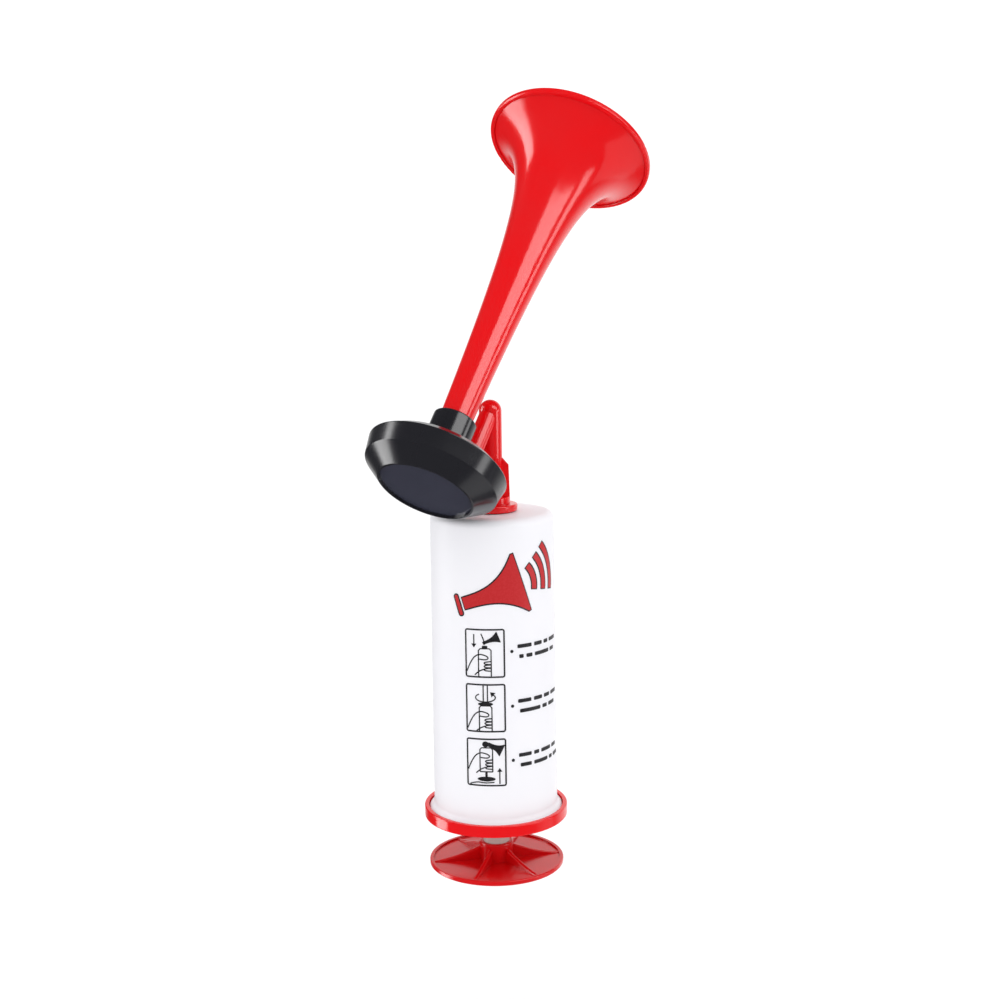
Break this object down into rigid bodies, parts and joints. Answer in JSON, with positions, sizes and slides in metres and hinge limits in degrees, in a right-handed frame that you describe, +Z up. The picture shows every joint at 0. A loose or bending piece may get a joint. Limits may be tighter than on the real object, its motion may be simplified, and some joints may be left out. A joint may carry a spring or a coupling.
{
  "type": "hand-pump air horn",
  "caption": "Hand-pump air horn: a palm disc drives a piston in an upright barrel, whose air feeds a diaphragm drum with a flared trumpet.",
  "frame": {"origin": "centre of the palm disc's flat underside, on which the horn stands", "axes": "+Z up along the pump's axis, +X towards the side the trumpet leans to"},
  "size_m": [0.129, 0.059, 0.264],
  "materials": {
    "red_plastic": "glossy moulded ABS",
    "white_plastic": "glossy moulded polypropylene with printed panels",
    "black_plastic": "high-gloss moulded ABS",
    "grey_plastic": "plain moulded acetal",
    "rubber": "matt moulded rubber",
    "navy_film": "smooth polyester film",
    "steel": "zinc-plated"
  },
  "bodies": {
    "pump_body": {"pump_barrel": "white_plastic", "end_cap": "red_plastic"},
    "piston_seal": {"piston_cup": "rubber"},
    "plunger": {"piston_rod": "grey_plastic", "piston_plate": "grey_plastic", "piston_washer": "steel", "piston_screw": "steel", "handle_disc": "red_plastic", "handle_screw": "steel"},
    "neck_washer": {"neck_gasket": "rubber"},
    "horn_head": {"air_pipe": "red_plastic", "drum_housing": "black_plastic", "diaphragm": "navy_film", "diaphragm_gasket": "rubber", "clamp_ring": "black_plastic", "trumpet": "red_plastic"}
  },
  "joints": [
    {"name": "pump_stroke", "type": "slide", "parent": "pump_body", "child": "piston_seal", "axis": [0, 0, -1], "range_m": [0, 0.07]},
    {"name": "plunger_turn", "type": "hinge", "parent": "piston_seal", "child": "plunger", "pos_m": [0, 0, 0], "axis": [0, 0, 1], "continuous": true},
    {"name": "neck_lift", "type": "slide", "parent": "pump_body", "child": "neck_washer", "axis": [0, 0, 1], "range_m": [0, 0.00813]},
    {"name": "neck_unscrew", "type": "hinge", "parent": "neck_washer", "child": "horn_head", "pos_m": [0, 0, 0.1232], "axis": [0, 0, 1], "range_deg": [0, 1175]}
  ],
  "couplings": [
    {"joint": "neck_unscrew", "follows": "neck_lift", "rad_per_m": 2513.3}
  ]
}
